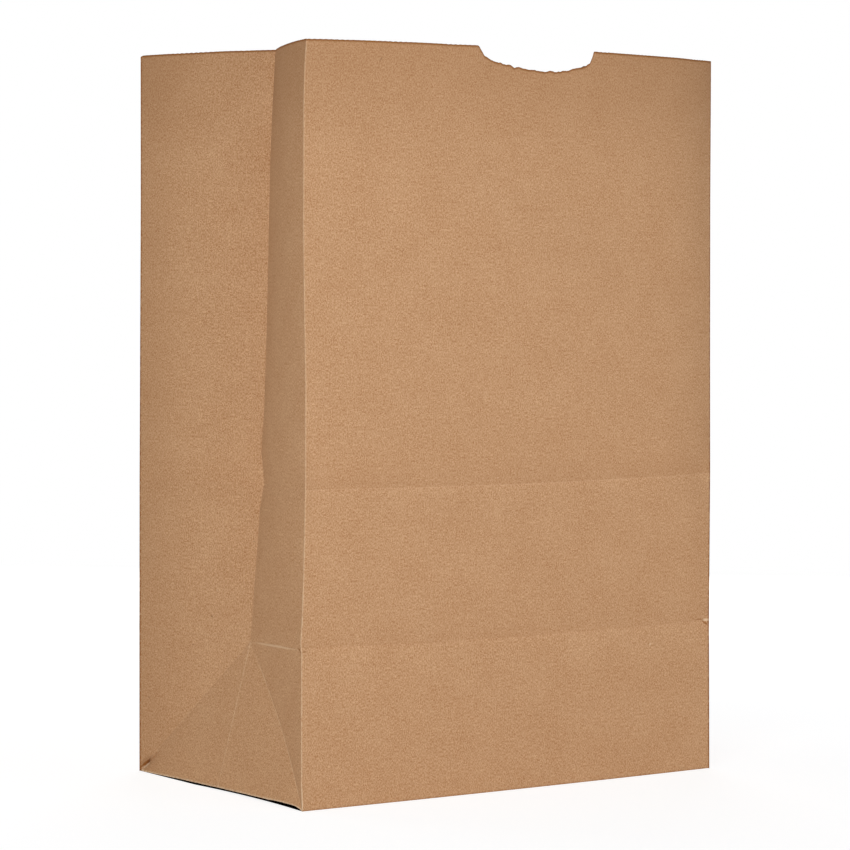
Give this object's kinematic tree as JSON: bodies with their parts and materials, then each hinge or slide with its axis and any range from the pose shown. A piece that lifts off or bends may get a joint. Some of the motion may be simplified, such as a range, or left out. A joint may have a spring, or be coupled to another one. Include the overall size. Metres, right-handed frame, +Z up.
{
  "type": "paper grocery bag",
  "caption": "Open-topped kraft paper bag with pleated sides, a folded flat bottom, a serrated top edge and a thumb cut in the front.",
  "frame": {"origin": "middle of the base, on the surface that the bag stands on", "axes": "+Z up through the mouth, -Y out of the front face with the thumb cut, +X to the right seen from the front"},
  "size_m": [0.305, 0.2008, 0.4318],
  "materials": {
    "kraft_paper": "unbleached brown kraft paper, matt, with fine fibres and soft worn creases"
  },
  "bodies": {
    "root": {"paper_bag": "kraft_paper"}
  },
  "joints": []
}
